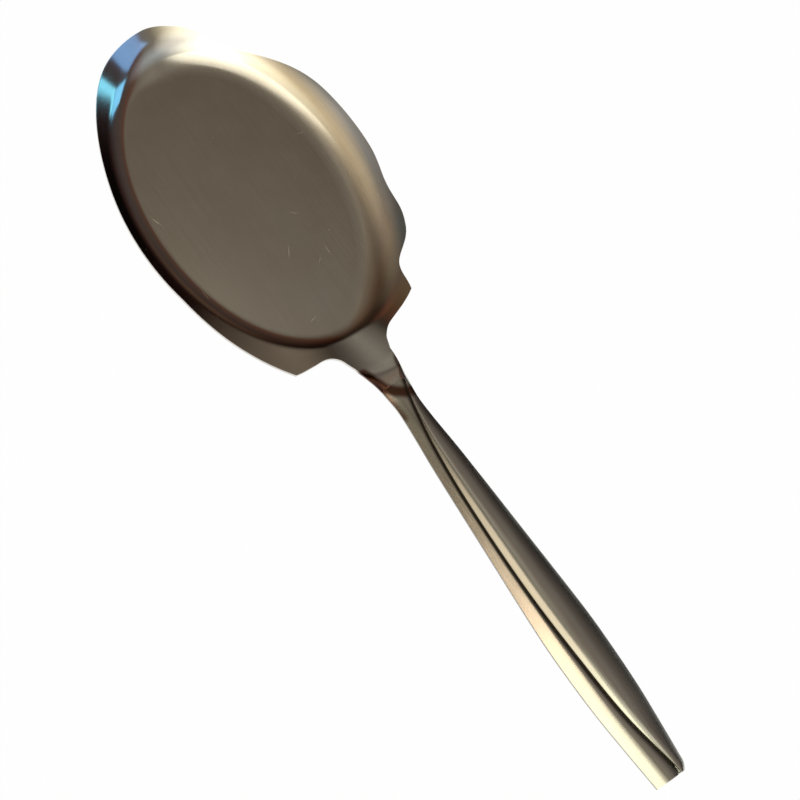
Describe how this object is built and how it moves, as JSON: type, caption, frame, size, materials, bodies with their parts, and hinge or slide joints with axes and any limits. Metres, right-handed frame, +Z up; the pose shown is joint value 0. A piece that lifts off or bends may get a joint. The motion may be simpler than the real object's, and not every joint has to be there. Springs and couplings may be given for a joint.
{
  "type": "serving pan with hollow handle",
  "caption": "Shallow oval serving pan of polished steel with a flared rim, two ears, a ramped neck and a slim hollow handle with a long curved crease.",
  "frame": {"origin": "middle of the flat floor's underside, on the surface that the pan stands on", "axes": "+X from the pan along the handle, +Y towards the handle's leaf, +Z up out of the pan"},
  "size_m": [0.2687, 0.0778, 0.0117],
  "materials": {
    "pan_steel": "polished stainless steel with fine hairline scratches from use",
    "handle_steel": "polished stainless steel, slightly satin along the handle",
    "solder": "dull dark hard solder",
    "cement": "hard grey-brown filling cement"
  },
  "bodies": {
    "root": {"pan": "pan_steel", "handle_band": "handle_steel", "handle_leaf": "handle_steel", "handle_back": "handle_steel", "seam_solder": "solder", "handle_cement": "cement", "end_plug": "handle_steel"}
  },
  "joints": []
}
